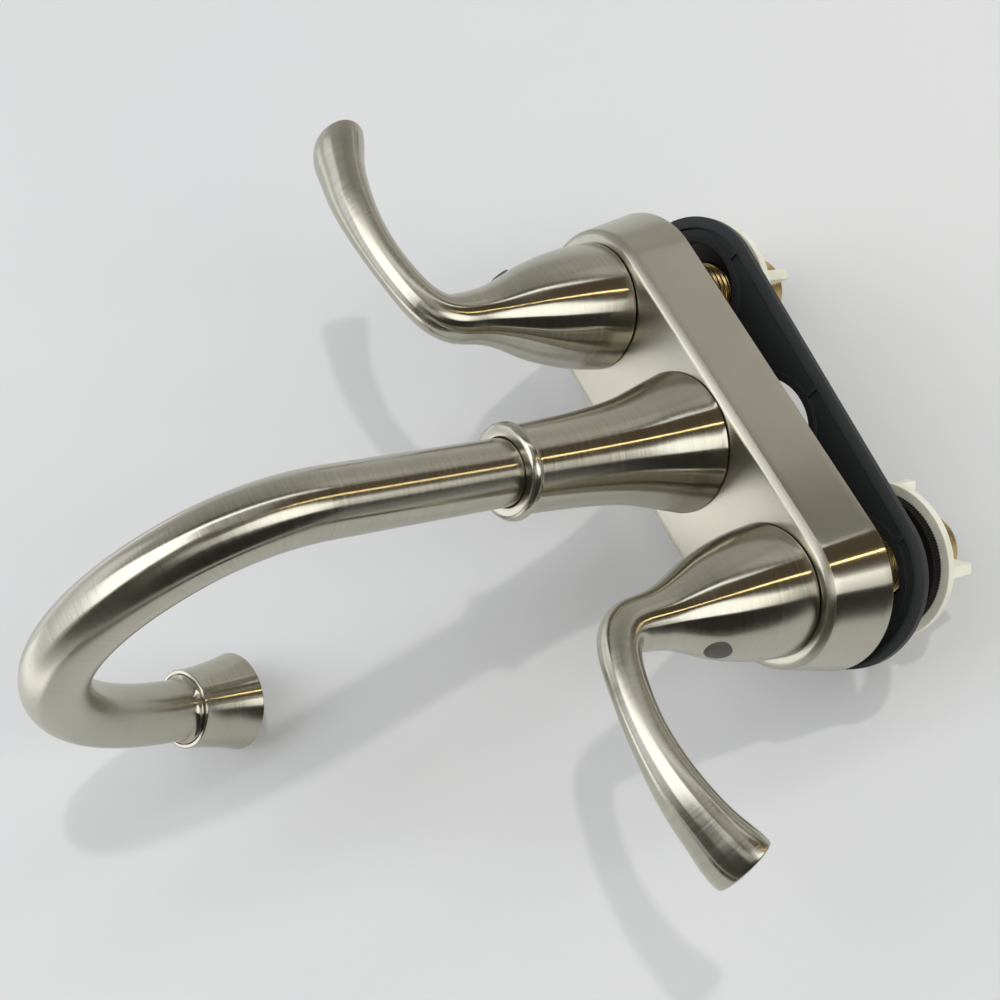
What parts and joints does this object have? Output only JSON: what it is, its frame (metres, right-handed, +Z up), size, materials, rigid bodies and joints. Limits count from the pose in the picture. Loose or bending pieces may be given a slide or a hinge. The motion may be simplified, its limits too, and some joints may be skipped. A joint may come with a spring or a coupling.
{
  "type": "bathroom sink faucet",
  "caption": "Centerset bathroom faucet: lever handles on tapered hubs, a swivelling gooseneck spout with a flared outlet, a drawn base cover and threaded shanks with wing nuts.",
  "frame": {"origin": "on the spout's axis, in the plane of the base cover's underside", "axes": "+X towards the user's right, +Y towards the wall, +Z up along the spout's riser"},
  "size_m": [0.2392, 0.1714, 0.2512],
  "materials": {
    "brushed_nickel": "brushed",
    "brass": "machined",
    "steel": "satin",
    "charcoal_plastic": "moulded",
    "black_plastic": "moulded",
    "ivory_nylon": "moulded",
    "grey_plastic": "moulded",
    "white_acetal": "satin",
    "ceramic": "lapped",
    "seal_rubber": "matte"
  },
  "bodies": {
    "base": {"base_cover": "brushed_nickel", "left_valve_body": "brass", "left_bonnet_nut": "brass", "left_cartridge_body": "white_acetal", "left_seat_seal": "seal_rubber", "left_fixed_disc": "ceramic", "left_crossover_tube": "brass", "right_valve_body": "brass", "right_bonnet_nut": "brass", "right_cartridge_body": "white_acetal", "right_seat_seal": "seal_rubber", "right_fixed_disc": "ceramic", "right_crossover_tube": "brass", "spout_post": "brass", "spout_locknut": "brass", "spout_seals": "seal_rubber", "spout_bell": "brushed_nickel", "spout_collar": "brushed_nickel", "spout_thrust_washer": "white_acetal"},
    "left_handle": {"left_handle": "brushed_nickel", "left_plug": "grey_plastic", "left_set_screw": "steel", "left_stem": "brass", "left_moving_disc": "ceramic"},
    "right_handle": {"right_handle": "brushed_nickel", "right_plug": "grey_plastic", "right_set_screw": "steel", "right_stem": "brass", "right_moving_disc": "ceramic"},
    "spout": {"spout_tube": "brushed_nickel", "spout_bushing": "white_acetal", "spout_retainer": "steel", "aerator_housing": "brushed_nickel", "aerator_washer": "seal_rubber", "aerator_insert": "white_acetal", "aerator_screen": "steel"},
    "gasket": {"gasket_plate": "charcoal_plastic"},
    "left_washer": {"left_washer": "black_plastic"},
    "left_nut": {"left_mounting_nut": "ivory_nylon"},
    "right_washer": {"right_washer": "black_plastic"},
    "right_nut": {"right_mounting_nut": "ivory_nylon"}
  },
  "joints": [
    {"name": "left_handle_turn", "type": "hinge", "parent": "base", "child": "left_handle", "pos_m": [-0.0508, 0, 0], "axis": [0, 0, 1], "range_deg": [0, 90]},
    {"name": "right_handle_turn", "type": "hinge", "parent": "base", "child": "right_handle", "pos_m": [0.0508, 0, 0], "axis": [0, 0, 1], "range_deg": [-90, 0]},
    {"name": "spout_swivel", "type": "hinge", "parent": "base", "child": "spout", "pos_m": [0, 0, 0], "axis": [0, 0, 1], "continuous": true},
    {"name": "gasket_swing", "type": "hinge", "parent": "base", "child": "gasket", "pos_m": [0.021, -0.0381, -0.0165], "axis": [0.9338, 0.3404, 0.11], "range_deg": [0, 10.43]},
    {"name": "left_washer_slide", "type": "slide", "parent": "base", "child": "left_washer", "axis": [0, 0, 1], "range_m": [-0.00545, 0.00727]},
    {"name": "left_nut_turn", "type": "hinge", "parent": "left_washer", "child": "left_nut", "pos_m": [-0.0508, 0, 0], "axis": [0, 0, 1], "range_deg": [-1080, 1440]},
    {"name": "right_washer_slide", "type": "slide", "parent": "base", "child": "right_washer", "axis": [0, 0, 1], "range_m": [-0.00545, 0.00727]},
    {"name": "right_nut_turn", "type": "hinge", "parent": "right_washer", "child": "right_nut", "pos_m": [0.0508, 0, 0], "axis": [0, 0, 1], "range_deg": [-1080, 1440]}
  ],
  "couplings": [
    {"joint": "left_washer_slide", "follows": "left_nut_turn", "m_per_rad": 0.00028871},
    {"joint": "right_washer_slide", "follows": "right_nut_turn", "m_per_rad": 0.00028871}
  ]
}
